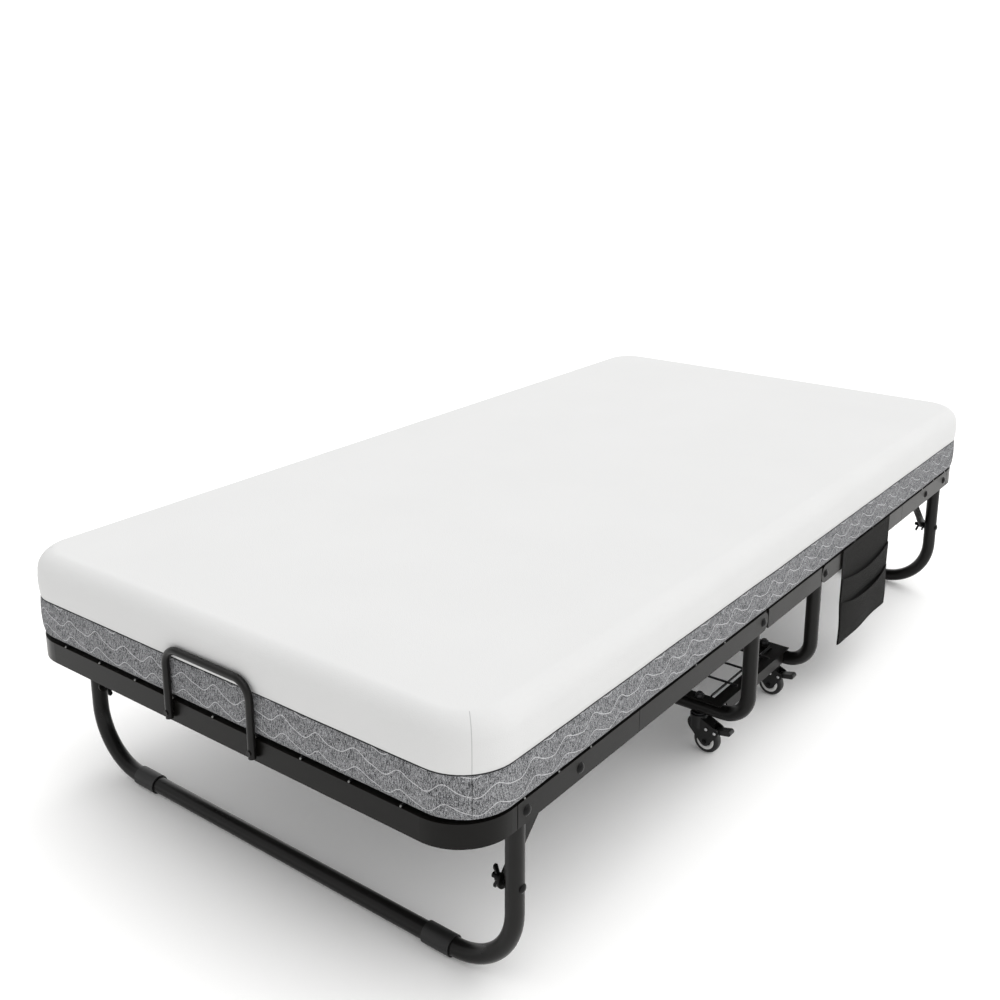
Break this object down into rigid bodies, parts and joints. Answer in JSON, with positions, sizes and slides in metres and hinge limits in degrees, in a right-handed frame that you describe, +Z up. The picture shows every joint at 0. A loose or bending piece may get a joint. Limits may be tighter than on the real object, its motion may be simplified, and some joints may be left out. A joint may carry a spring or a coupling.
{
  "type": "folding bed",
  "caption": "Folding single bed: steel frame that hinges up from a wheeled centre cart, with folding end legs, wire deck, foam mattress and side pocket.",
  "frame": {"origin": "on the floor, under the middle of the steel frame", "axes": "+Z up, +X along the bed towards the head end, the pocket on the -Y side"},
  "size_m": [1.9326, 0.9873, 0.449],
  "materials": {
    "frame": "satin",
    "wire": "satin",
    "fastener": "satin",
    "stem": "satin",
    "sleeve": "matt",
    "mattress": "knit",
    "pocket": "woven",
    "fork": "satin",
    "wheel": "matt",
    "lever": "matt"
  },
  "bodies": {
    "cart": {"centre_leg_foot": "frame", "centre_leg_head": "frame", "link_near": "frame", "link_far": "frame", "cart_bars": "frame", "shelf_frame": "frame", "shelf_wires": "wire", "centre_wires": "wire", "fold_bolts": "fastener", "fold_nuts": "fastener", "caster_stems": "stem", "mattress_centre": "mattress"},
    "foot_half": {"foot_loop": "frame", "foot_rail_near": "frame", "foot_rail_far": "frame", "foot_bar_outer": "frame", "foot_bar_inner": "frame", "foot_hinge_bar": "frame", "foot_wires": "wire", "foot_handle": "frame", "foot_brackets": "frame", "foot_bolts": "fastener", "foot_nuts": "fastener", "mattress_foot": "mattress"},
    "foot_leg_frame": {"foot_leg": "frame", "foot_sleeves": "sleeve", "foot_catch_bolts": "fastener", "foot_wing_nuts": "fastener"},
    "foot_brace_pair": {"foot_braces": "frame"},
    "head_half": {"head_loop": "frame", "head_rail_near": "frame", "head_rail_far": "frame", "head_bar_outer": "frame", "head_bar_inner": "frame", "head_hinge_bar": "frame", "head_wires": "wire", "head_handle": "frame", "head_brackets": "frame", "head_bolts": "fastener", "head_nuts": "fastener", "mattress_head": "mattress", "pocket_panel": "pocket", "pocket_pouches": "pocket"},
    "head_leg_frame": {"head_leg": "frame", "head_sleeves": "sleeve", "head_catch_bolts": "fastener", "head_wing_nuts": "fastener"},
    "head_brace_pair": {"head_braces": "frame"},
    "caster1_swivel_body": {"caster1_fork": "fork"},
    "caster1_wheel_body": {"caster1_wheel": "wheel"},
    "caster1_brake_body": {"caster1_brake": "lever"},
    "caster2_swivel_body": {"caster2_fork": "fork"},
    "caster2_wheel_body": {"caster2_wheel": "wheel"},
    "caster2_brake_body": {"caster2_brake": "lever"},
    "caster3_swivel_body": {"caster3_fork": "fork"},
    "caster3_wheel_body": {"caster3_wheel": "wheel"},
    "caster3_brake_body": {"caster3_brake": "lever"},
    "caster4_swivel_body": {"caster4_fork": "fork"},
    "caster4_wheel_body": {"caster4_wheel": "wheel"},
    "caster4_brake_body": {"caster4_brake": "lever"}
  },
  "joints": [
    {"name": "foot_fold", "type": "hinge", "parent": "cart", "child": "foot_half", "pos_m": [-0.136, 0, 0.286], "axis": [0, 1, 0], "range_deg": [0, 90], "deforming": ["mattress_foot", "mattress_centre"]},
    {"name": "foot_leg_fold", "type": "hinge", "parent": "foot_half", "child": "foot_leg_frame", "pos_m": [-0.8365, 0, 0.266], "axis": [0, -1, 0], "range_deg": [0, 90]},
    {"name": "foot_brace_swing", "type": "hinge", "parent": "foot_half", "child": "foot_brace_pair", "pos_m": [-0.712, 0, 0.286], "axis": [0, 1, 0], "range_deg": [0, 45]},
    {"name": "head_fold", "type": "hinge", "parent": "cart", "child": "head_half", "pos_m": [0.136, 0, 0.286], "axis": [0, -1, 0], "range_deg": [0, 90], "deforming": ["mattress_head"]},
    {"name": "head_leg_fold", "type": "hinge", "parent": "head_half", "child": "head_leg_frame", "pos_m": [0.8365, 0, 0.266], "axis": [0, 1, 0], "range_deg": [0, 90]},
    {"name": "head_brace_swing", "type": "hinge", "parent": "head_half", "child": "head_brace_pair", "pos_m": [0.712, 0, 0.286], "axis": [0, -1, 0], "range_deg": [0, 45]},
    {"name": "caster1_swivel", "type": "hinge", "parent": "cart", "child": "caster1_swivel_body", "pos_m": [-0.136, -0.366, 0.072], "axis": [0, 0, 1], "continuous": true},
    {"name": "caster1_roll", "type": "hinge", "parent": "caster1_swivel_body", "child": "caster1_wheel_body", "pos_m": [-0.136, -0.386, 0.025], "axis": [1, 0, 0], "continuous": true},
    {"name": "caster1_brake_press", "type": "hinge", "parent": "caster1_swivel_body", "child": "caster1_brake_body", "pos_m": [-0.136, -0.406, 0.048], "axis": [1, 0, 0], "range_deg": [0, 12]},
    {"name": "caster2_swivel", "type": "hinge", "parent": "cart", "child": "caster2_swivel_body", "pos_m": [0.136, -0.366, 0.072], "axis": [0, 0, 1], "continuous": true},
    {"name": "caster2_roll", "type": "hinge", "parent": "caster2_swivel_body", "child": "caster2_wheel_body", "pos_m": [0.136, -0.386, 0.025], "axis": [1, 0, 0], "continuous": true},
    {"name": "caster2_brake_press", "type": "hinge", "parent": "caster2_swivel_body", "child": "caster2_brake_body", "pos_m": [0.136, -0.406, 0.048], "axis": [1, 0, 0], "range_deg": [0, 12]},
    {"name": "caster3_swivel", "type": "hinge", "parent": "cart", "child": "caster3_swivel_body", "pos_m": [0.136, 0.366, 0.072], "axis": [0, 0, 1], "continuous": true},
    {"name": "caster3_roll", "type": "hinge", "parent": "caster3_swivel_body", "child": "caster3_wheel_body", "pos_m": [0.136, 0.346, 0.025], "axis": [1, 0, 0], "continuous": true},
    {"name": "caster3_brake_press", "type": "hinge", "parent": "caster3_swivel_body", "child": "caster3_brake_body", "pos_m": [0.136, 0.326, 0.048], "axis": [1, 0, 0], "range_deg": [0, 12]},
    {"name": "caster4_swivel", "type": "hinge", "parent": "cart", "child": "caster4_swivel_body", "pos_m": [-0.136, 0.366, 0.072], "axis": [0, 0, 1], "continuous": true},
    {"name": "caster4_roll", "type": "hinge", "parent": "caster4_swivel_body", "child": "caster4_wheel_body", "pos_m": [-0.136, 0.346, 0.025], "axis": [1, 0, 0], "continuous": true},
    {"name": "caster4_brake_press", "type": "hinge", "parent": "caster4_swivel_body", "child": "caster4_brake_body", "pos_m": [-0.136, 0.326, 0.048], "axis": [1, 0, 0], "range_deg": [0, 12]}
  ],
  "couplings": [
    {"joint": "foot_brace_swing", "follows": "foot_leg_fold", "ratio": 0.49},
    {"joint": "head_brace_swing", "follows": "head_leg_fold", "ratio": 0.49}
  ]
}
